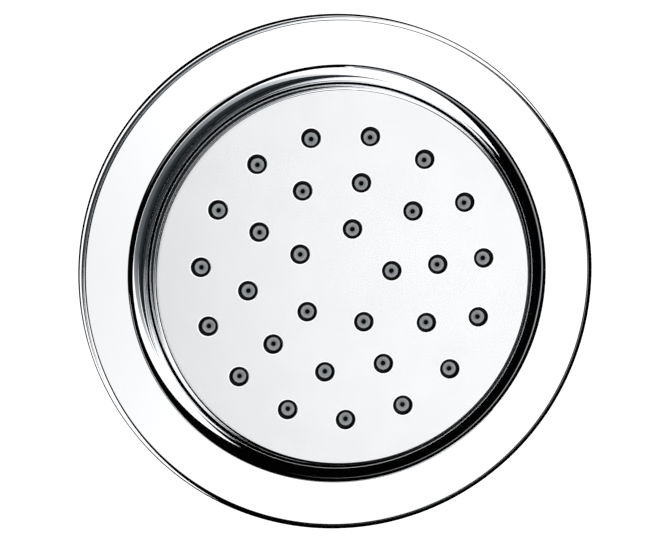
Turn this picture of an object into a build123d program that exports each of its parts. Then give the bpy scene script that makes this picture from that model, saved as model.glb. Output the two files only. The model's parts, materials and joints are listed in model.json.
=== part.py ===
from build123d import *
from math import acos, atan2, cos, degrees, radians, sin, sqrt, tan
import os

# Flush-mounted shower head whose round spray face swivels in a chromed trim flange.
# Millimetres and degrees. The wall's surface is the plane Y = 0, the room lies towards -Y
# and +Z is up. "out" is a distance out from the wall, so a point at out 10 has Y = -10.

# Trim flange
flange_diameter = 130.0
flange_height = 5.5  # flat front of the flange, out from the wall
flange_wall = 2.0
flange_edge_draft = 0.1  # the rim leans in by this much towards its front edge
flange_edge_round = 1.5
flange_band = 16.2  # width of the flange outside the swivel's ball
collar_rise = 3.7  # lip of the collar, out from the flat front
collar_lip = 0.2  # the lip is this wide and falls this much towards the head
collar_flare = 1.2  # the collar's wall is this much wider at its foot than at its lip
collar_cove = 4.5  # hollow round between the collar's wall and the flat front
collar_lip_round = 0.08

# Swivel: the head's side is a zone of a ball, and so is the collar's inside
swivel_depth = 12.3  # centre of the swivel, behind the spray face
swivel_gap = 0.35
head_tilt = 7.0  # each way about X and about Z
skirt_cover = 2.0  # degrees of skirt left under the lip at full tilt

# Spray face
face_rise = 4.1  # out from the collar's lip
face_wall = 2.0
face_edge_round = 0.8
skirt_wall = 2.2

# Nozzles, in rings on common spokes
ring_count = 3
spoke_count = 5
first_spoke = 7.0
first_ring_radius = 12.35
nozzle_hole = 4.8
nozzle_root = 3.5
nozzle_tip = 3.3
nozzle_throat = 2.2
nozzle_orifice = 1.2
nozzle_proud = 0.3
mat_wall = 1.4
mat_margin = 0.3  # mat left outside the clamp rib
nozzle_lean = 6.5  # towards the spray axis in the outer ring, and less nearer the middle

# Back of the head
chamber_height = 2.8
back_wall = 2.3
back_gap = 0.4  # between the back's edge and the skirt
clamp_rib_wall = 1.4
clamp_rib_gap = 0.4  # between the outer holes and the rib
boss_radius = 1.8
boss_gap = 0.2  # between the bosses and the mat
boss_inset = 2.08  # between the bosses and the skirt, level with the back's front
head_screw_count = 6
head_screw_radius = 1.0
head_screw_head_radius = 1.8
head_screw_head_height = 1.4
head_screw_grip = 3.2  # length of screw in the boss
screw_gap = 0.1
back_inlet_radius = 4.4
crown_radius = 7.6  # crown of the hub, which stands up to the mat and spreads the water
crown_slot_count = 6
crown_slot_width = 2.0
crown_slot_height = 1.4

# Ball joint
ball_radius = 6.5
ball_front_cut = 5.4  # flat front of the ball, out from its centre
ball_bore_radius = 2.7
neck_radius = 4.0
seat_gap = 0.25
seat_wall = 1.5
packing_angles = (35.0, 75.0)  # from the spray axis
friction_ring_angles = (104.0, 124.0)
hub_wall = 2.6
hub_reach = 1.8  # end of the hub, behind the ball's centre
hub_thread_gap = 0.1
collar_nut_wall = 2.8
collar_nut_reach = 8.0  # rear face of the nut, behind the ball's centre
collar_nut_gap = 1.2  # between the nut and the head's back
collar_nut_shoulder_gap = 0.3  # between the nut's shoulder and the hub's end
collar_nut_flutes = 12
collar_nut_flute_radius = 2.4
collar_nut_flute_depth = 0.8
mouth_clearance = 0.7  # round the neck at full tilt

# Stem behind the ball
hexagon_clearance = 3.5  # between the nut and the stem's hexagon
hexagon_flats = 15.0
hexagon_length = 5.0
spigot_radius = 6.9
spigot_length = 11.0
spigot_gap = 0.1
stem_seal_section = 1.8
regulator_radius = 5.0
regulator_length = 3.2
regulator_orifice_radius = 1.4
regulator_seal_section = 1.4
regulator_gap = 0.2

# Inlet socket
inlet_thread_radius = 9.3  # minor radius of the half-inch female thread
inlet_thread_length = 15.0
inlet_body_radius = 12.8
inlet_flange_radius = 17.0
inlet_flange_wall = 3.5
inlet_land_wall = 1.5
inlet_land_radius = 5.5
inlet_mouth_chamfer = 0.8
spigot_end_gap = 0.5
screen_radius = 8.0
screen_wall = 1.0
screen_seat_depth = 1.5
screen_hole_radius = 0.9
screen_hole_pitch = 2.6
screen_hole_rings = 2
screen_gap = 0.2
gasket_wall = 1.5
gasket_width = 6.0
lock_nut_flats = 36.0
lock_nut_length = 7.0
lock_nut_chamfer = 1.6
inlet_gap = 0.2  # round the socket's body

# Mounting cup
cup_wall = 2.0
cup_floor_wall = 2.5
cup_gap = 0.8  # between the cup and the head's side
cup_inner_round = 4.0
plate_gap = 0.3  # between the plate's rim and the flange
wall_screw_count = 4
wall_screw_first = 45.0
wall_screw_margin = 4.4  # between the screws' circle and the plate's edge
wall_screw_hole = 3.8
wall_screw_sink = 6.2
grip_ring_section = 1.6
grip_ring_gap = 0.1  # between the ring and the flange's rim, and in the ring's groove
wall_seal_margin = 1.3  # between the seal and the plate's edge
wall_seal_width = 1.0
wall_seal_wall = 0.6

# Places out from the wall that follow from the sizes
lip_out = flange_height + collar_rise
face_out = lip_out + face_rise
centre_out = face_out - swivel_depth
face_back = face_out - face_wall
mat_back = face_back - mat_wall
back_front = mat_back - chamber_height
back_rear = back_front - back_wall
seat_out = flange_height - flange_wall
hub_end = centre_out - hub_reach
nut_front = back_rear - collar_nut_gap
nut_rear = centre_out - collar_nut_reach
hexagon_front = nut_rear - hexagon_clearance
hexagon_rear = hexagon_front - hexagon_length
spigot_end = hexagon_rear - spigot_length
cup_floor = hexagon_rear - inlet_flange_wall
cup_rear = cup_floor - cup_floor_wall
gasket_rear = cup_rear - gasket_wall
land_front = spigot_end - spigot_end_gap
land_rear = land_front - inlet_land_wall
thread_front = land_rear - screen_seat_depth
inlet_rear = thread_front - inlet_thread_length

# Radii that follow from the sizes
rim_radius = flange_diameter / 2
swivel_radius = rim_radius - flange_band
socket_radius = swivel_radius + swivel_gap
skirt_inner_radius = swivel_radius - skirt_wall
packing_inner = ball_radius + seat_gap
packing_outer = packing_inner + seat_wall
ball_socket_radius = packing_outer + seat_gap
hub_radius = ball_socket_radius + hub_wall
nut_inner_radius = hub_radius + hub_thread_gap
nut_outer_radius = nut_inner_radius + collar_nut_wall
cup_inner_radius = swivel_radius + cup_gap
cup_outer_radius = cup_inner_radius + cup_wall

# Both tilts together, and the mouth that the collar nut needs round the neck then
corner_tilt = degrees(acos(cos(radians(head_tilt)) ** 2))
nut_mouth_radius = (
    (neck_radius + mouth_clearance) / cos(radians(corner_tilt))
    + collar_nut_reach * tan(radians(corner_tilt))
)


def reach(ball, out):
    """Radius at a place out from the wall of a ball about the swivel's centre."""
    return sqrt(ball**2 - (out - centre_out) ** 2)


def rim_inner(out):
    """Inner radius of the flange's leaning rim."""
    return rim_radius - flange_edge_draft * out / flange_height - flange_wall


# From the skirt inwards: screw bosses, mat, clamp rib and nozzle rings
boss_circle = reach(skirt_inner_radius, back_front) - boss_inset - boss_radius
mat_radius = boss_circle - boss_radius - boss_gap
rib_outer = mat_radius - mat_margin
rib_inner = rib_outer - clamp_rib_wall
last_ring_radius = rib_inner - clamp_rib_gap - nozzle_hole / 2
ring_pitch = (last_ring_radius - first_ring_radius) / (ring_count - 1)
ring_radii = [first_ring_radius + ring_pitch * i for i in range(ring_count)]

# From the flange's rim inwards: plate, wall seal and wall screws
plate_radius = rim_inner(seat_out) - plate_gap
wall_seal_outer = plate_radius - wall_seal_margin
wall_seal_inner = wall_seal_outer - wall_seal_width
wall_screw_radius = plate_radius - wall_screw_margin


def section(radius, out):
    """Point of a half section, drawn beside the axis that it is turned about."""
    return (radius, -out)


def line(*points):
    return Polyline(*[section(*point) for point in points])


def rounded(points, rounds):
    """Line of straight runs with each inner corner rounded."""
    return FilletPolyline(*[section(*point) for point in points], radius=rounds)


def zone_arc(ball, out_from, out_to):
    """Arc of a ball about the swivel's centre, between two places out from the wall."""
    middle = (out_from + out_to) / 2
    places = [section(reach(ball, out), out) for out in (out_from, middle, out_to)]
    return ThreePointArc(*places)


def turned(*edges):
    """Solid of revolution of a closed half section about the spray axis."""
    return revolve(make_face(edges), axis=Axis.Y)


def ring(inner, outer, back, front):
    return turned(line((inner, back), (outer, back), (outer, front), (inner, front), (inner, back)))


def rod(radius, back, front):
    return cone(radius, radius, back, front)


def cone(radius_back, radius_front, back, front):
    """Cone or cylinder along the spray axis, from its back to its front."""
    length = front - back
    if radius_back == radius_front:
        shape = Cylinder(radius_back, length)
    else:
        shape = Cone(radius_back, radius_front, length)
    return Pos(0, -(back + front) / 2, 0) * Rot(90, 0, 0) * shape


def hexagon(flats, back, front):
    profile = RegularPolygon(flats / 2, 6, major_radius=False)
    return Pos(0, -back, 0) * Rot(90, 0, 0) * extrude(profile, front - back)


def o_ring(radius, sectional_radius, out):
    return Pos(0, -out, 0) * Rot(90, 0, 0) * Torus(radius, sectional_radius)


def around(radius, count, first=0.0):
    """Places on a circle about the spray axis, anticlockwise as seen from the room."""
    return [Rot(0, -first - 360 / count * i, 0) * Pos(radius, 0, 0) for i in range(count)]


def ball_shell(inner, outer, angles):
    """Zone of a thick ball shell about the swivel's centre, between angles from the spray axis."""
    start, end = angles

    def at(ball, angle):
        return section(ball * sin(radians(angle)), centre_out + ball * cos(radians(angle)))

    def arc(ball):
        return ThreePointArc(*[at(ball, angle) for angle in (start, (start + end) / 2, end)])

    sides = [Line(at(inner, angle), at(outer, angle)) for angle in angles]
    return turned(arc(inner), arc(outer), *sides)


def nozzle_places(lean=0.0):
    """Places of the nozzles, which lean towards the spray axis about their roots."""
    places = []
    for index, radius in enumerate(ring_radii):
        ring_lean = lean * radius / ring_radii[-1]
        leaning = Pos(0, -face_back, 0) * Rot(0, 0, -ring_lean) * Pos(0, face_back, 0)
        places += [place * leaning for place in around(radius, spoke_count * (index + 1), first_spoke)]
    return places


def make_trim_flange():
    lip_fall_out = lip_out - collar_lip
    lip_inner = reach(socket_radius, lip_fall_out)
    lip_outer = lip_inner + collar_lip
    front = [
        (rim_radius, 0),
        (rim_radius - flange_edge_draft, flange_height),
        (lip_outer + collar_flare, flange_height),
        (lip_outer, lip_out),
        (lip_inner, lip_fall_out),
    ]
    rear = [
        (reach(socket_radius, seat_out), seat_out),
        (rim_inner(seat_out), seat_out),
        (rim_inner(0), 0),
        (rim_radius, 0),
    ]
    rounds = [flange_edge_round, collar_cove, collar_lip_round]
    return turned(rounded(front, rounds), zone_arc(socket_radius, lip_fall_out, seat_out), line(*rear))


def make_spray_face():
    lip_angle = degrees(atan2(reach(socket_radius, lip_out), lip_out - centre_out))
    skirt_angle = lip_angle + corner_tilt + skirt_cover
    skirt_out = centre_out + swivel_radius * cos(radians(skirt_angle))
    shell = turned(
        line((0, face_back), (0, face_out), (reach(swivel_radius, face_out), face_out)),
        zone_arc(swivel_radius, face_out, skirt_out),
        line((reach(swivel_radius, skirt_out), skirt_out), (reach(skirt_inner_radius, skirt_out), skirt_out)),
        zone_arc(skirt_inner_radius, skirt_out, face_back),
        line((reach(skirt_inner_radius, face_back), face_back), (0, face_back)),
    )
    face_edge = shell.edges().filter_by(GeomType.CIRCLE).sort_by(Axis.Y)[0]
    shell = fillet(face_edge, face_edge_round)
    bosses = around(boss_circle, head_screw_count)
    shell += [place * rod(boss_radius, back_front, face_back) for place in bosses]
    pilot_front = back_front + head_screw_grip + screw_gap
    pilot = rod(head_screw_radius + screw_gap, back_front, pilot_front)
    shell -= [place * pilot for place in bosses]
    hole = rod(nozzle_hole / 2, face_back, face_out)
    return shell - [place * hole for place in nozzle_places()]


def make_nozzle_mat():
    tip_out = face_out + nozzle_proud
    mat = rod(mat_radius, mat_back, face_back)
    places = nozzle_places(nozzle_lean)
    nozzle = cone(nozzle_root / 2, nozzle_tip / 2, face_back, tip_out)
    nozzle += rod(nozzle_root / 2, face_back - mat_wall / 2, face_back)
    mat += [place * nozzle for place in places]
    bore = cone(nozzle_throat / 2, nozzle_orifice / 2, mat_back - mat_wall, tip_out)
    return mat - [place * bore for place in places]


def make_head_back():
    back_radius = reach(skirt_inner_radius, back_front) - back_gap
    inlet_out = centre_out + sqrt(ball_socket_radius**2 - back_inlet_radius**2)
    body = turned(
        line(
            (back_inlet_radius, inlet_out),
            (back_inlet_radius, mat_back),
            (crown_radius, mat_back),
            (crown_radius, back_front),
            (rib_inner, back_front),
            (rib_inner, mat_back),
            (rib_outer, mat_back),
            (rib_outer, back_front),
            (back_radius, back_front),
            (back_radius, back_rear),
            (hub_radius, back_rear),
            (hub_radius, hub_end),
            (ball_socket_radius, hub_end),
            (ball_socket_radius, centre_out),
        ),
        zone_arc(ball_socket_radius, centre_out, inlet_out),
    )
    slot_middle = (back_inlet_radius + crown_radius) / 2
    slot = Box(crown_radius, 2 * crown_slot_height, crown_slot_width)
    slots = around(slot_middle, crown_slot_count)
    body -= [place * Pos(0, -mat_back, 0) * slot for place in slots]
    hole = rod(head_screw_radius + 2 * screw_gap, back_rear, back_front)
    return body - [place * hole for place in around(boss_circle, head_screw_count)]


def make_head_screws():
    head = rod(head_screw_head_radius, back_rear - head_screw_head_height, back_rear)
    screw = head + rod(head_screw_radius, back_rear, back_front + head_screw_grip)
    return [place * screw for place in around(boss_circle, head_screw_count)]


def make_swivel_collar():
    shoulder_out = hub_end - collar_nut_shoulder_gap
    mouth_out = centre_out - sqrt(ball_socket_radius**2 - nut_mouth_radius**2)
    nut = turned(
        line(
            (nut_mouth_radius, mouth_out),
            (nut_mouth_radius, nut_rear),
            (nut_outer_radius, nut_rear),
            (nut_outer_radius, nut_front),
            (nut_inner_radius, nut_front),
            (nut_inner_radius, shoulder_out),
            (reach(ball_socket_radius, shoulder_out), shoulder_out),
        ),
        zone_arc(ball_socket_radius, shoulder_out, mouth_out),
    )
    flute_circle = nut_outer_radius + collar_nut_flute_radius - collar_nut_flute_depth
    flute = rod(collar_nut_flute_radius, nut_rear, nut_front)
    return nut - [place * flute for place in around(flute_circle, collar_nut_flutes)]


def make_ball_stem():
    ball_front = centre_out + ball_front_cut
    neck_out = centre_out - sqrt(ball_radius**2 - neck_radius**2)
    ball = turned(
        line((0, hexagon_front), (0, ball_front), (reach(ball_radius, ball_front), ball_front)),
        zone_arc(ball_radius, ball_front, neck_out),
        line((neck_radius, neck_out), (neck_radius, hexagon_front), (0, hexagon_front)),
    )
    stem = ball + hexagon(hexagon_flats, hexagon_rear, hexagon_front)
    stem += rod(spigot_radius, spigot_end, hexagon_rear)
    stem -= rod(ball_bore_radius, spigot_end, ball_front)
    pocket_length = regulator_length + regulator_seal_section
    return stem - rod(regulator_radius + regulator_gap, spigot_end, spigot_end + pocket_length)


def make_stem_seal():
    section_radius = stem_seal_section / 2
    return o_ring(spigot_radius + spigot_gap + section_radius, section_radius, hexagon_rear - section_radius)


def make_flow_regulator():
    back = spigot_end + regulator_seal_section
    front = back + regulator_length
    return ring(regulator_orifice_radius, regulator_radius, back, front)


def make_regulator_seal():
    section_radius = regulator_seal_section / 2
    return o_ring(regulator_radius - section_radius, section_radius, spigot_end + section_radius)


def make_inlet_socket():
    seal_pocket_radius = spigot_radius + 2 * spigot_gap + stem_seal_section
    seal_pocket_out = hexagon_rear - stem_seal_section - spigot_gap
    outline = [
        (inlet_flange_radius, hexagon_rear),
        (inlet_flange_radius, cup_floor),
        (inlet_body_radius, cup_floor),
        (inlet_body_radius, inlet_rear),
        (inlet_thread_radius + inlet_mouth_chamfer, inlet_rear),
        (inlet_thread_radius, inlet_rear + inlet_mouth_chamfer),
        (inlet_thread_radius, thread_front),
        (screen_radius + screen_gap, thread_front),
        (screen_radius + screen_gap, land_rear),
        (inlet_land_radius, land_rear),
        (inlet_land_radius, land_front),
        (spigot_radius + spigot_gap, land_front),
        (spigot_radius + spigot_gap, seal_pocket_out),
        (seal_pocket_radius, seal_pocket_out),
        (seal_pocket_radius, hexagon_rear),
    ]
    return turned(line(*outline, outline[0]))


def make_inlet_screen():
    screen = rod(screen_radius, land_rear - screen_wall, land_rear)
    hole = rod(screen_hole_radius, land_rear - screen_wall, land_rear)
    places = [Pos(0, 0, 0)]
    for index in range(1, screen_hole_rings + 1):
        places += around(screen_hole_pitch * index, 6 * index)
    return screen - [place * hole for place in places]


def make_inlet_gasket():
    inner = inlet_body_radius + inlet_gap
    return ring(inner, inner + gasket_width, gasket_rear, cup_rear)


def make_inlet_lock_nut():
    rear = gasket_rear - lock_nut_length
    corner_radius = lock_nut_flats / sqrt(3)
    edge_radius = corner_radius - lock_nut_chamfer
    edge_rise = lock_nut_chamfer / 2
    inner = inlet_body_radius + inlet_gap
    blank = turned(
        line(
            (inner, rear),
            (edge_radius, rear),
            (corner_radius, rear + edge_rise),
            (corner_radius, gasket_rear - edge_rise),
            (edge_radius, gasket_rear),
            (inner, gasket_rear),
            (inner, rear),
        )
    )
    return blank & hexagon(lock_nut_flats, rear, gasket_rear)


def grip_ring_place():
    """Radius and place out from the wall of the ring that grips the flange's rim."""
    section_radius = grip_ring_section / 2
    out = seat_out / 2
    return rim_inner(out + section_radius) - grip_ring_gap - section_radius, out


def make_mounting_cup():
    bore_radius = inlet_body_radius + inlet_gap
    inside = [
        (plate_radius, seat_out),
        (cup_inner_radius, seat_out),
        (cup_inner_radius, cup_floor),
        (bore_radius, cup_floor),
    ]
    outside = [
        (bore_radius, cup_rear),
        (cup_outer_radius, cup_rear),
        (cup_outer_radius, 0),
        (plate_radius, 0),
    ]
    cup = turned(
        rounded(inside, [0, cup_inner_round]),
        line((bore_radius, cup_floor), (bore_radius, cup_rear)),
        rounded(outside, [cup_inner_round + cup_wall, 0]),
        line((plate_radius, 0), (plate_radius, seat_out)),
    )
    groove_radius, groove_out = grip_ring_place()
    cup -= o_ring(groove_radius, grip_ring_section / 2 + grip_ring_gap, groove_out)
    cup -= ring(wall_seal_inner, wall_seal_outer, 0, wall_seal_wall)
    sink_depth = (wall_screw_sink - wall_screw_hole) / 2
    hole = rod(wall_screw_hole / 2, 0, seat_out)
    hole += cone(wall_screw_hole / 2, wall_screw_sink / 2, seat_out - sink_depth, seat_out)
    places = around(wall_screw_radius, wall_screw_count, wall_screw_first)
    return cup - [place * hole for place in places]


def make_flange_grip_ring():
    radius, out = grip_ring_place()
    return o_ring(radius, grip_ring_section / 2, out)


def make_wall_seal():
    return ring(wall_seal_inner, wall_seal_outer, 0, wall_seal_wall)


nodes = {
    "trim_flange": make_trim_flange(),
    "mounting_cup": make_mounting_cup(),
    "flange_grip_ring": make_flange_grip_ring(),
    "wall_seal": make_wall_seal(),
    "ball_stem": make_ball_stem(),
    "stem_seal": make_stem_seal(),
    "flow_regulator": make_flow_regulator(),
    "regulator_seal": make_regulator_seal(),
    "inlet_socket": make_inlet_socket(),
    "inlet_screen": make_inlet_screen(),
    "inlet_gasket": make_inlet_gasket(),
    "inlet_lock_nut": make_inlet_lock_nut(),
    "ball_packing": ball_shell(packing_inner, packing_outer, packing_angles),
    "friction_ring": ball_shell(packing_inner, packing_outer, friction_ring_angles),
    "spray_face": make_spray_face(),
    "nozzle_mat": make_nozzle_mat(),
    "head_back": make_head_back(),
    "head_screws": Compound(make_head_screws()),
    "swivel_collar": make_swivel_collar(),
}

os.makedirs("parts", exist_ok=True)
for name, solid in nodes.items():
    export_step(solid, f"parts/{name}.step")
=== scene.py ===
import json
from math import atan2, cos, hypot, pi, radians, sin, sqrt, tan

import bmesh
import bpy
from mathutils import Matrix, Vector


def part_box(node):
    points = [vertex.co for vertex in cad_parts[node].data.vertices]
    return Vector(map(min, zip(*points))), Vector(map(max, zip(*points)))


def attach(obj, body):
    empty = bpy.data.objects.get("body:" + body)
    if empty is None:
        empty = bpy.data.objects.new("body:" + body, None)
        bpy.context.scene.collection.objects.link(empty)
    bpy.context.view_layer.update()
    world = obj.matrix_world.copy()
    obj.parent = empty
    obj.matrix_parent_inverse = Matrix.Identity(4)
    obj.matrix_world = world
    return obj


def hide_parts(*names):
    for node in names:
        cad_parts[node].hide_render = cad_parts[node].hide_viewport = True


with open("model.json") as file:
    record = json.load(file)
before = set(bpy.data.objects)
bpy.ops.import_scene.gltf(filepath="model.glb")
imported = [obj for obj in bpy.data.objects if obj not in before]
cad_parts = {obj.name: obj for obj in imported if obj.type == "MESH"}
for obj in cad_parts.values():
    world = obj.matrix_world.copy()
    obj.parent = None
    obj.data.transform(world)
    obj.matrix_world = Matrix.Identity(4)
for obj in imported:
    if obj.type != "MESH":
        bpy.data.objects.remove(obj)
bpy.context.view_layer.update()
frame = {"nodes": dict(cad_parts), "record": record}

# Sizes in millimetres. "out" is a distance out from the wall, which is the plane Y = 0,
# and the room lies towards -Y. An outline is a half section of (radius, out, rounding).
MM = 0.001
NEAR = 1e-7  # points this close, in metres, are the same

# Trim flange
RIM_RADIUS = 65.0
RIM_WALL = 2.0
RIM_DRAFT = 0.1
RIM_FOOT_ROUND = 0.2
FLANGE_OUT = 5.5
FLANGE_BACK = 3.5
FLANGE_BACK_ROUND = 0.3
EDGE_ROUND = 1.5
COLLAR_FLARE = 1.2
COLLAR_LIP = 0.2
COLLAR_COVE = 4.5
LIP_OUT = 9.2
LIP_ROUND = 0.08
SOCKET_RADIUS = 49.15

# Spray face
FACE_OUT = 13.3
FACE_WALL = 2.0
FACE_ROUND = 0.8
FACE_BAND = 1.2
SWIVEL_RADIUS = 48.8
SKIRT_WALL = 2.2
CENTRE_OUT = 1.0
FACE_BACK = FACE_OUT - FACE_WALL
SKIRT_OUT = -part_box("spray_face")[1].y / MM

# Nozzles
RING_RADII = (12.35, 24.06, 35.77)
SPOKES = 5
FIRST_SPOKE = 7.0
HOLE_RADIUS = 2.4
HOLE_BAND = 0.35
HOLE_ROUND = 0.15
ROOT_RADIUS = 1.75
TIP_RADIUS = 1.65
TIP_ROUND = 0.25
TIP_OUT = 13.6
DISH_RADIUS = 1.25
DISH_DEPTH = 0.35
DISH_ROUND = 0.08
ORIFICE_RADIUS = 0.6
ORIFICE_DEPTH = 2.2
ORIFICE_ROUND = 0.05
MAT_RADIUS = 40.32
MAT_BACK = 9.9
MAT_ROUND = 0.3
NOZZLE_LEAN = 6.5  # degrees towards the spray axis in the outer ring, and less nearer the middle
# Places out from the wall over which the silicone darkens to near black: painted shade in the
# gaps, dishes and bores of the nozzles.
PAINTED_SHADE_START = 13.55
PAINTED_SHADE_END = 12.6

# Fineness of the meshes
TURN_STEPS = 256
MAT_STEPS = 96
HOLE_STEPS = 40
NOZZLE_STEPS = 32
SKIRT_STEPS = 24
INNER_STEPS = 12
SOCKET_STEPS = 8
ROUND_STEPS = 6
SHARP_ANGLE = 40.0  # degrees, above which an edge stays sharp

# Marks of the lathe tool. Blender's wave texture runs at 20 times its coordinates.
TOOL_MARK = 0.35
WAVE_RATE = 20

# Sockets of the mix node when it mixes colours
MIX_SHARE = 0
MIX_FIRST = 6
MIX_SECOND = 7
MIX_RESULT = 2


def linear(hex_colour):
    """Linear RGBA of an sRGB hex colour."""
    channels = [int(hex_colour[i:i + 2], 16) / 255 for i in (1, 3, 5)]
    return [c / 12.92 if c <= 0.04045 else ((c + 0.055) / 1.055) ** 2.4 for c in channels] + [1.0]


def add_node(tree, kind, settings=None, **links):
    """Adds a node, sets its properties or sockets by name and links its sockets to outputs."""
    node = tree.nodes.new(kind)
    for name, value in (settings or {}).items():
        if name in node.inputs:
            node.inputs[name].default_value = value
        else:
            setattr(node, name, value)
    for name, output in links.items():
        tree.links.new(output, node.inputs[name.replace("_", " ")])
    return node


def start_material(name):
    """New material with its node tree, its shader and the place on the object."""
    material = bpy.data.materials.new(name)
    material.use_nodes = True
    tree = material.node_tree
    shader = tree.nodes["Principled BSDF"]
    place = add_node(tree, "ShaderNodeTexCoord").outputs["Object"]
    return material, tree, shader, place


def grain(tree, place, size_mm, low=0.0, high=1.0, detail=2.0):
    """Noise of a real grain size, mapped between two values."""
    settings = {"Scale": 1 / (size_mm * MM), "Detail": detail}
    noise = add_node(tree, "ShaderNodeTexNoise", settings, Vector=place).outputs["Fac"]
    mapped = add_node(tree, "ShaderNodeMapRange", {"To Min": low, "To Max": high}, Value=noise)
    return mapped.outputs[0]


def mix_colours(tree, share, first, second):
    """Colour between two, each a hex colour or another node's output."""
    mix = add_node(tree, "ShaderNodeMix", {"data_type": "RGBA"})
    tree.links.new(share, mix.inputs[MIX_SHARE])
    for socket, colour in ((MIX_FIRST, first), (MIX_SECOND, second)):
        if isinstance(colour, str):
            mix.inputs[socket].default_value = linear(colour)
        else:
            tree.links.new(colour, mix.inputs[socket])
    return mix.outputs[MIX_RESULT]


def set_bump(tree, shader, height, depth_mm, strength):
    """Gives a shader the relief of another node's output."""
    settings = {"Distance": depth_mm * MM, "Strength": strength}
    bump = add_node(tree, "ShaderNodeBump", settings, Height=height)
    tree.links.new(bump.outputs["Normal"], shader.inputs["Normal"])


def make_mirror_chrome():
    # Chromium plate on polished brass: an almost perfect mirror with a faint blue cast.
    material, tree, shader, place = start_material("Mirror chrome plate")
    shader.inputs["Base Color"].default_value = linear("#F2F3F5")
    shader.inputs["Metallic"].default_value = 1.0
    rough = grain(tree, place, size_mm=9.0, low=0.02, high=0.05)
    tree.links.new(rough, shader.inputs["Roughness"])
    return material


def make_satin_chrome():
    # The same plate on a pressed face: softer, with faint cloudy marks from wiping.
    material, tree, shader, place = start_material("Soft chrome plate")
    clouds = grain(tree, place, size_mm=14.0, detail=3.0)
    colour = mix_colours(tree, clouds, "#E6E7E9", "#EFF0F2")
    tree.links.new(colour, shader.inputs["Base Color"])
    shader.inputs["Metallic"].default_value = 1.0
    rough = grain(tree, place, size_mm=6.0, low=0.225, high=0.25)
    tree.links.new(rough, shader.inputs["Roughness"])
    return material


def make_silicone():
    # Moulded silicone rubber: soft mid grey, dull sheen, slightly mottled, and darkened to near
    # black below the face, in the gaps round the nozzles and in their dishes and bores: painted
    # shade of those recesses.
    material, tree, shader, place = start_material("Grey silicone rubber")
    mottle = grain(tree, place, size_mm=0.6, detail=3.0)
    colour = mix_colours(tree, mottle, "#777B7E", "#8D9194")
    # Painted shade: the colour is near black deeper than the nozzle tips and fades to the rubber's
    # own grey at the tips.
    depth = add_node(tree, "ShaderNodeSeparateXYZ", None, Vector=place).outputs["Y"]
    ends = {"From Min": -PAINTED_SHADE_END * MM, "From Max": -PAINTED_SHADE_START * MM}
    painted_shade = add_node(tree, "ShaderNodeMapRange", ends, Value=depth).outputs[0]
    shaded_colour = mix_colours(tree, painted_shade, "#020202", colour)
    tree.links.new(shaded_colour, shader.inputs["Base Color"])
    shader.inputs["IOR"].default_value = 1.41
    rough = grain(tree, place, size_mm=0.4, low=0.45, high=0.6)
    tree.links.new(rough, shader.inputs["Roughness"])
    set_bump(tree, shader, grain(tree, place, size_mm=0.25), depth_mm=0.02, strength=0.4)
    return material


def make_painted_hole_shade():
    # Inside of a nozzle hole: unplated moulded plastic, coloured near black as painted shade of
    # the deep hole.
    material, tree, shader, place = start_material("Painted shade inside nozzle holes")
    shader.inputs["Base Color"].default_value = linear("#060607")
    shader.inputs["IOR"].default_value = 1.5
    rough = grain(tree, place, size_mm=0.5, low=0.6, high=0.8)
    tree.links.new(rough, shader.inputs["Roughness"])
    return material


def make_plastic(name, dark, light, grit_mm, rough):
    # Moulded plastic with a fine spark-eroded grain, drawn coarser than life so that it shows.
    material, tree, shader, place = start_material(name)
    tone = grain(tree, place, size_mm=12.0, detail=4.0)
    tree.links.new(mix_colours(tree, tone, dark, light), shader.inputs["Base Color"])
    shader.inputs["IOR"].default_value = 1.5
    patches = grain(tree, place, size_mm=grit_mm * 4, low=rough - 0.06, high=rough + 0.06)
    tree.links.new(patches, shader.inputs["Roughness"])
    set_bump(tree, shader, grain(tree, place, size_mm=grit_mm), depth_mm=0.03, strength=0.5)
    return material


def make_turned_metal(name, dark, light, rough):
    # Metal turned on a lathe: fine rings from the tool round the spray axis.
    material, tree, shader, place = start_material(name)
    settings = {
        "wave_type": "BANDS",
        "bands_direction": "Y",
        "Scale": 1 / (TOOL_MARK * MM * WAVE_RATE),
        "Distortion": 0.4,
    }
    rings = add_node(tree, "ShaderNodeTexWave", settings, Vector=place).outputs["Fac"]
    tone = grain(tree, place, size_mm=5.0, detail=3.0)
    tree.links.new(mix_colours(tree, tone, dark, light), shader.inputs["Base Color"])
    shader.inputs["Metallic"].default_value = 1.0
    patches = grain(tree, place, size_mm=2.0, low=rough - 0.05, high=rough + 0.07)
    tree.links.new(patches, shader.inputs["Roughness"])
    set_bump(tree, shader, rings, depth_mm=0.01, strength=0.3)
    return material


def reach(ball, out):
    """Radius at a place out from the wall of a ball about the swivel's centre."""
    return sqrt(ball**2 - (out - CENTRE_OUT) ** 2)


def zone(ball, out_from, out_to, steps):
    """Outline along a ball about the swivel's centre, between two places out from the wall."""
    start, end = (atan2(reach(ball, out), out - CENTRE_OUT) for out in (out_from, out_to))
    angles = [start + (end - start) * i / steps for i in range(steps + 1)]
    return [(ball * sin(a), CENTRE_OUT + ball * cos(a), 0) for a in angles]


def turn_angle(before, corner, after):
    """Angle by which an outline turns at a corner."""
    a = Vector((corner[0] - before[0], corner[1] - before[1]))
    b = Vector((after[0] - corner[0], after[1] - corner[1]))
    return a.angle(b)


def in_plane(verts, out):
    """Whether all the points lie in a plane out from the wall."""
    return all(abs(v.co.y + out * MM) < NEAR for v in verts)


def on_cylinder(verts, radius):
    """Whether all the points lie at a radius round the Y axis."""
    return all(abs(hypot(v.co.x, v.co.z) - radius * MM) < NEAR for v in verts)


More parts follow.
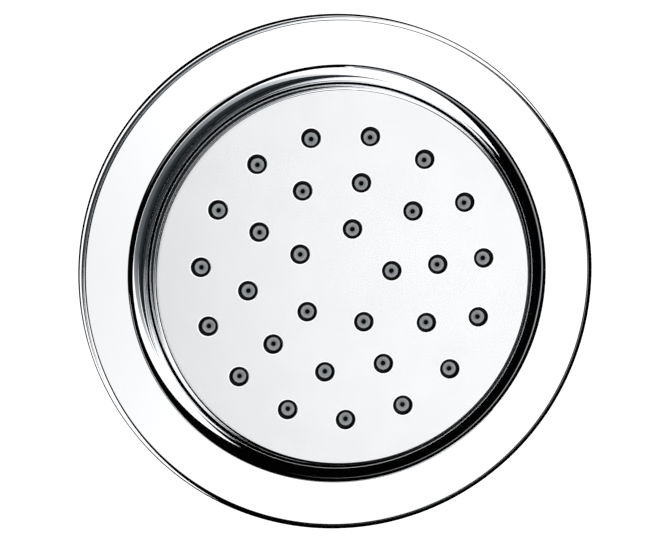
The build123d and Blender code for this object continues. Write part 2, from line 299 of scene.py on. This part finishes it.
def spin_outline(bm, outline, steps, closed=True):
    """Spins a half section about the spray axis and rounds the corners that ask for it."""
    verts = [bm.verts.new((radius * MM, -out * MM, 0)) for radius, out, _ in outline]
    pairs = list(zip(verts, verts[1:] + verts[:1])) if closed else list(zip(verts, verts[1:]))
    edges = [bm.edges.new(pair) for pair in pairs]
    old = set(bm.faces)
    bmesh.ops.spin(
        bm, geom=verts + edges, cent=(0, 0, 0), axis=(0, 1, 0), angle=2 * pi, steps=steps,
        use_merge=True,
    )
    faces = [f for f in bm.faces if f not in old]
    touched = list({v for f in faces for v in f.verts})
    bmesh.ops.remove_doubles(bm, verts=touched, dist=NEAR)
    count = len(outline)
    for index, (radius, out, rounding) in enumerate(outline):
        if not rounding:
            continue
        turn = turn_angle(outline[index - 1], outline[index], outline[(index + 1) % count])
        ring = [e for e in bm.edges if on_cylinder(e.verts, radius) and in_plane(e.verts, out)]
        bmesh.ops.bevel(
            bm, geom=ring, offset=rounding * tan(turn / 2) * MM, offset_type="OFFSET",
            segments=ROUND_STEPS, profile=0.5, affect="EDGES", material=-1,
        )


def to_mesh(bm, name):
    """Mesh with what a bmesh holds, which is freed."""
    mesh = bpy.data.meshes.new(name)
    bm.to_mesh(mesh)
    bm.free()
    return mesh


def add_object(mesh):
    """Object in the scene with the mesh and its name."""
    made = bpy.data.objects.new(mesh.name, mesh)
    bpy.context.scene.collection.objects.link(made)
    return made


def finish_piece(bm, name, body, slot, materials, *nodes):
    """Makes the piece's object, smooth with area-weighted normals, hangs it on its body and hides
    the parts that it stands for.
    """
    bmesh.ops.remove_doubles(bm, verts=bm.verts, dist=NEAR)
    bmesh.ops.recalc_face_normals(bm, faces=bm.faces)
    mesh = to_mesh(bm, name)
    mesh.shade_smooth()
    mesh.set_sharp_from_angle(angle=radians(SHARP_ANGLE))
    for material in materials:
        mesh.materials.append(material)
    piece = add_object(mesh)
    normals = piece.modifiers.new("Area-weighted normals", "WEIGHTED_NORMAL")
    normals.keep_sharp = True
    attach(piece, body)
    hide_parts(*nodes)


def nozzle_places():
    """Radius and angle of each nozzle, anticlockwise as seen from the room."""
    for index, radius in enumerate(RING_RADII):
        count = SPOKES * (index + 1)
        for i in range(count):
            yield radius, radians(FIRST_SPOKE + 360 / count * i)


def put_at_nozzles(bm, mesh, lean_outer=0.0):
    """Adds a copy of a mesh at each nozzle, leaning in by this angle in the outer ring."""
    root = Vector((0, -FACE_BACK * MM, 0))
    for radius, angle in nozzle_places():
        before = set(bm.verts)
        bm.from_mesh(mesh)
        new = [v for v in bm.verts if v not in before]
        if lean_outer:
            lean = radians(lean_outer) * radius / RING_RADII[-1]
            turn = Matrix.Rotation(lean, 3, Vector((sin(angle), 0, -cos(angle))))
            bmesh.ops.rotate(bm, verts=new, cent=root, matrix=turn)
        place = radius * MM * Vector((cos(angle), 0, sin(angle)))
        bmesh.ops.translate(bm, verts=new, vec=place)
    bpy.data.meshes.remove(mesh)


def make_trim_flange(chrome):
    lip = reach(SOCKET_RADIUS, LIP_OUT - COLLAR_LIP)
    foot = lip + COLLAR_LIP + COLLAR_FLARE

    def rim(out):
        return RIM_RADIUS - RIM_DRAFT * out / FLANGE_OUT

    outline = [
        (RIM_RADIUS, 0, RIM_FOOT_ROUND),
        (rim(FLANGE_OUT), FLANGE_OUT, EDGE_ROUND),
        (foot, FLANGE_OUT, COLLAR_COVE),
        (lip + COLLAR_LIP, LIP_OUT, LIP_ROUND),
        *zone(SOCKET_RADIUS, LIP_OUT - COLLAR_LIP, FLANGE_BACK, SOCKET_STEPS),
        (rim(FLANGE_BACK) - RIM_WALL, FLANGE_BACK, FLANGE_BACK_ROUND),
        (RIM_RADIUS - RIM_WALL, 0, 0),
    ]
    bm = bmesh.new()
    spin_outline(bm, outline, TURN_STEPS)
    finish_piece(bm, "trim_flange_polished", "mount", "chrome", [chrome], "trim_flange")


def make_spray_face(chrome, hole_shade, polished):
    materials = [chrome, hole_shade, polished]
    flat_index, hole_shade_index, polished_index = range(len(materials))
    edge = reach(SWIVEL_RADIUS, FACE_OUT)
    bm = bmesh.new()
    outline = [
        (edge - FACE_BAND, FACE_OUT, 0),
        (edge, FACE_OUT, FACE_ROUND),
        *zone(SWIVEL_RADIUS, FACE_OUT, SKIRT_OUT, SKIRT_STEPS)[1:],
        *zone(SWIVEL_RADIUS - SKIRT_WALL, SKIRT_OUT, FACE_BACK, INNER_STEPS),
    ]
    spin_outline(bm, outline, TURN_STEPS, closed=False)
    for face in bm.faces:
        flat = in_plane(face.verts, FACE_OUT)
        face.material_index = flat_index if flat else polished_index
    hole = bmesh.new()
    hole_outline = [
        (HOLE_RADIUS + HOLE_BAND, FACE_OUT, 0),
        (HOLE_RADIUS, FACE_OUT, HOLE_ROUND),
        (HOLE_RADIUS, FACE_BACK, 0),
    ]
    spin_outline(hole, hole_outline, HOLE_STEPS, closed=False)
    # Painted shade: the hole walls get the near-black material, and the rounded rims get the
    # polished chrome.
    for face in hole.faces:
        wall = all(abs(v.co.y) < (FACE_OUT - HOLE_ROUND / 2) * MM for v in face.verts)
        face.material_index = hole_shade_index if wall else polished_index
    put_at_nozzles(bm, to_mesh(hole, "hole_rim"))
    for out, facing in ((FACE_OUT, -1), (FACE_BACK, 1)):
        open_edges = [e for e in bm.edges if e.is_boundary and in_plane(e.verts, out)]
        bmesh.ops.triangle_fill(bm, use_beauty=True, edges=open_edges, normal=(0, facing, 0))
    finish_piece(bm, "spray_face_plated", "spray_head", "chrome", materials, "spray_face")


def make_nozzle_mat(silicone):
    bm = bmesh.new()
    mat_outline = [
        (0, MAT_BACK, 0),
        (MAT_RADIUS, MAT_BACK, MAT_ROUND),
        (MAT_RADIUS, FACE_BACK, MAT_ROUND),
        (0, FACE_BACK, 0),
    ]
    spin_outline(bm, mat_outline, MAT_STEPS)
    nozzle = bmesh.new()
    nozzle_outline = [
        (0, FACE_BACK, 0),
        (ROOT_RADIUS, FACE_BACK, 0),
        (TIP_RADIUS, TIP_OUT, TIP_ROUND),
        (DISH_RADIUS, TIP_OUT, DISH_ROUND),
        (ORIFICE_RADIUS, TIP_OUT - DISH_DEPTH, ORIFICE_ROUND),
        (ORIFICE_RADIUS, TIP_OUT - ORIFICE_DEPTH, 0),
        (0, TIP_OUT - ORIFICE_DEPTH, 0),
    ]
    spin_outline(nozzle, nozzle_outline, NOZZLE_STEPS, closed=False)
    put_at_nozzles(bm, to_mesh(nozzle, "nozzle"), NOZZLE_LEAN)
    finish_piece(bm, "nozzle_mat_moulded", "spray_head", "silicone", [silicone], "nozzle_mat")


mirror_chrome = make_mirror_chrome()
satin_chrome = make_satin_chrome()
silicone = make_silicone()
painted_hole_shade = make_painted_hole_shade()
black_abs = make_plastic("Moulded black ABS", "#141415", "#1B1B1D", grit_mm=0.4, rough=0.42)
acetal = make_plastic("Natural acetal", "#DAD8CF", "#E4E2DA", grit_mm=0.5, rough=0.35)
rubber = make_plastic("Black EPDM rubber", "#0D0D0E", "#151516", grit_mm=0.6, rough=0.6)
brass = make_turned_metal("Turned brass", "#B58A3C", "#D2AC62", rough=0.25)
steel = make_turned_metal("Stainless steel", "#9A9B9C", "#BFC0C1", rough=0.28)

make_trim_flange(mirror_chrome)
make_spray_face(satin_chrome, painted_hole_shade, mirror_chrome)
make_nozzle_mat(silicone)

SLOT_MATERIALS = {
    "chrome": mirror_chrome,
    "silicone": silicone,
    "housing": black_abs,
    "acetal": acetal,
    "brass": brass,
    "seal": rubber,
    "steel": steel,
}
for part in frame["record"]["subparts"]:
    node = frame["nodes"][part["node"]]
    node.data.materials.clear()
    node.data.materials.append(SLOT_MATERIALS[part["material_slot"]])


# Stage: white surroundings, a pale floor, and cards that only the reflections see. Sizes of the
# cards round the part and of the wall's shadows are in millimetres.
STAGE_LIGHT = 1.28
CARD_RADIUS = 90.0
CARD_STEP = 0.02  # a later card is this much nearer the part than the one before it
CARD_COLUMNS = 120
CARD_ROWS = 24

# Overhead cards and floor, in metres
OVERHEAD_DISTANCE = 3.0
FLOOR_HALF = 0.8
FLOOR_DROP = 0.75


def even(tone):
    """Corner tones of a card of one tone."""
    return (tone, tone, tone, tone)


def fade(low, high):
    """Corner tones of a card that fades from its lower to its upper edge."""
    return (low, low, high, high)


BLACK = even("#020202")
WHITE = even("#FFFFFF")
BLACK_TO_WHITE = fade("#020202", "#FFFFFF")
GREY = fade("#606264", "#A8AAAC")
LENS = fade("#040405", "#34383A")
CARDS = [
    # First and last angle, places out from the wall of the lower edge and of the upper edge at
    # those angles, and tones of the corners.
    (217, 238, (9, 9), (190, 140), BLACK),
    (238, 267, (9, -60), (140, 102), BLACK),
    (267, 307, (-60, -60), (102, 73), BLACK),
    (307, 370, (-60, -60), (73, 107), BLACK),
    (370, 392, (-60, 5), (107, 123), BLACK),
    (392, 441, (5, 79), (123, 160), BLACK),
    (205, 267, (190, 102), (260, 146), BLACK_TO_WHITE),
    (267, 319, (102, 79), (146, 107), BLACK_TO_WHITE),
    (260, 346, (38, 29), (38, 38), GREY),
    (346, 439, (29, 61), (38, 86), GREY),
    (81, 123, (29, 9), (160, 172), BLACK),
    (123, 218, (9, 9), (172, 190), BLACK),
    # the pale wedges and the grey lens that the left of the collar shows
    (80, 202, (2, 2), (62, 62), WHITE),
    (202, 245, (2, 2), (62, 2), WHITE),
    (86, 111, (14, 27), (15, 54), ("#E0E2E4", "#94989B", "#F0F0F0", "#C0C4C6")),
    (111, 132, (27, 28), (54, 56), ("#94989B", "#686C6F", "#C0C4C6", "#888C8F")),
    (132, 150, (28, 30), (56, 58), ("#686C6F", "#484C4E", "#888C8F", "#5C6063")),
    (150, 177, (30, 24), (58, 58), ("#484C4E", "#4C5053", "#5C6063", "#686C6F")),
    (177, 206, (24, 11), (58, 14), ("#4C5053", "#B0B4B6", "#686C6F", "#C0C4C6")),
    (70, 111, (2, 2), (2.5, 27), LENS),
    (111, 150, (2, 2), (27, 30), LENS),
    (150, 177, (2, 2), (30, 24), LENS),
    (177, 210, (2, 2), (24, 2.5), LENS),
]
SHADOWS = [
    # first and last angle and the widths there
    (0, 30, (0.8, 20)),
    (30, 100, (20, 10)),
    (100, 140, (10, 4)),
    (140, 200, (1, 2)),
    (200, 240, (2, 20)),
    (240, 360, (20, 0.8)),
]
OVERHEAD = [
    # reach in x and in z, and tones of the corners
    ((-0.75, 0.0), (-1.1, 0.1), BLACK),
    ((-0.75, 0.0), (0.1, 0.9), ("#020202", "#FFFFFF", "#020202", "#FFFFFF")),
    ((0.0, 0.125), (-1.1, 0.1), fade("#020202", "#E2E2E2")),
    ((0.125, 0.32), (-1.1, 0.6), fade("#E2E2E2", "#FFFFFF")),
]


def make_card_material():
    # Matt studio card, lit to the tone that each of its points holds.
    material = bpy.data.materials.new("Matt studio card")
    material.use_nodes = True
    tree = material.node_tree
    tree.nodes.clear()
    tone = add_node(tree, "ShaderNodeAttribute", {"attribute_name": "tone"}).outputs["Color"]
    glow = add_node(tree, "ShaderNodeEmission", {"Strength": STAGE_LIGHT}, Color=tone)
    add_node(tree, "ShaderNodeOutputMaterial", None, Surface=glow.outputs[0])
    return material


def between(ends, share):
    """Value at a share of the way between two ends."""
    return ends[0] + (ends[1] - ends[0]) * share


def start_card(tones):
    """Square card with its points' places as shares of its sides. Its tones are those of its first
    and last lower corner and of its first and last upper corner, and blend between them."""
    bm = bmesh.new()
    bmesh.ops.create_grid(bm, x_segments=CARD_COLUMNS, y_segments=CARD_ROWS, size=0.5)
    bmesh.ops.translate(bm, verts=bm.verts, vec=(0.5, 0.5, 0))
    tone = bm.verts.layers.float_color.new("tone")
    low_first, low_last, high_first, high_last = (Vector(linear(colour)) for colour in tones)
    for vert in bm.verts:
        low = low_first.lerp(low_last, vert.co.x)
        high = high_first.lerp(high_last, vert.co.x)
        vert[tone] = low.lerp(high, vert.co.y)
    return bm


def hang_card(bm, name, material):
    """Hangs a card in the studio, where only reflections see it."""
    mesh = to_mesh(bm, name)
    mesh.materials.append(material)
    card = add_object(mesh)
    card.visible_camera = False
    card.visible_diffuse = False
    card.visible_shadow = False
    card.visible_transmission = False


def make_round_card(radius, first, last, lows, highs, tones):
    """Card bent round the spray axis, with its edges' places out from the wall."""
    bm = start_card(tones)
    for vert in bm.verts:
        angle = radians(between((first, last), vert.co.x))
        ends = (between(lows, vert.co.x), between(highs, vert.co.x))
        out = between(ends, vert.co.y)
        vert.co = MM * Vector((radius * cos(angle), -out, radius * sin(angle)))
    return bm


def make_overhead_card(reach_x, reach_z, tones):
    """Flat card opposite the spray face. Its lower edge is the left one, seen from the room."""
    bm = start_card(tones)
    for vert in bm.verts:
        x = between(reach_x, vert.co.y)
        z = between(reach_z, vert.co.x)
        vert.co = Vector((x, -OVERHEAD_DISTANCE, z))
    return bm


def make_wall_shadow(first, last, widths):
    """Dark part of a ring where the rim meets the wall, like a contact shadow in the rim."""
    bm = start_card(BLACK)
    for vert in bm.verts:
        angle = radians(between((first, last), vert.co.x))
        radius = MM * (RIM_RADIUS + between(widths, vert.co.x) * vert.co.y)
        vert.co = radius * Vector((cos(angle), 0, sin(angle)))
    return bm


def make_floor():
    # Matt white board far below the part, out of its reflections.
    bm = bmesh.new()
    bmesh.ops.create_grid(bm, x_segments=1, y_segments=1, size=FLOOR_HALF)
    mesh = to_mesh(bm, "studio_floor")
    material, _, shader, _ = start_material("Matt white studio floor")
    shader.inputs["Base Color"].default_value = linear("#F4F4F4")
    shader.inputs["Roughness"].default_value = 0.9
    mesh.materials.append(material)
    floor = add_object(mesh)
    floor.location.z = -FLOOR_DROP
    floor.visible_glossy = False


card_material = make_card_material()
for index, card in enumerate(CARDS):
    bm = make_round_card(CARD_RADIUS - CARD_STEP * index, *card)
    hang_card(bm, f"reflection_card_{index}", card_material)
for index, card in enumerate(OVERHEAD):
    hang_card(make_overhead_card(*card), f"overhead_card_{index}", card_material)
for index, shadow in enumerate(SHADOWS):
    hang_card(make_wall_shadow(*shadow), f"wall_shadow_{index}", card_material)
make_floor()

world = bpy.data.worlds.new("White studio")
world.use_nodes = True
world.node_tree.nodes["Background"].inputs["Color"].default_value = (1, 1, 1, 1)
world.node_tree.nodes["Background"].inputs["Strength"].default_value = STAGE_LIGHT
bpy.context.scene.world = world
bpy.context.scene.view_settings.view_transform = "Standard"

# Camera, from the upper left of the spray axis as in the photograph
CAMERA_AIM = Vector((-0.00015, 0, 0.00015))
CAMERA_DISTANCE = 1.047
CAMERA_LENS = 223.2
CAMERA_SENSOR = 36
CAMERA_TILT = 10.3
CAMERA_SIDE = 141.0
tilt = radians(CAMERA_TILT)
turn = radians(CAMERA_SIDE)
towards = Vector((sin(tilt) * cos(turn), -cos(tilt), sin(tilt) * sin(turn)))
lens = bpy.data.cameras.new("camera")
lens.lens = CAMERA_LENS
lens.sensor_width = CAMERA_SENSOR
camera = bpy.data.objects.new("camera", lens)
camera.location = CAMERA_AIM + towards * CAMERA_DISTANCE
camera.rotation_euler = (-towards).to_track_quat("-Z", "Y").to_euler()
bpy.context.scene.collection.objects.link(camera)
bpy.context.scene.camera = camera
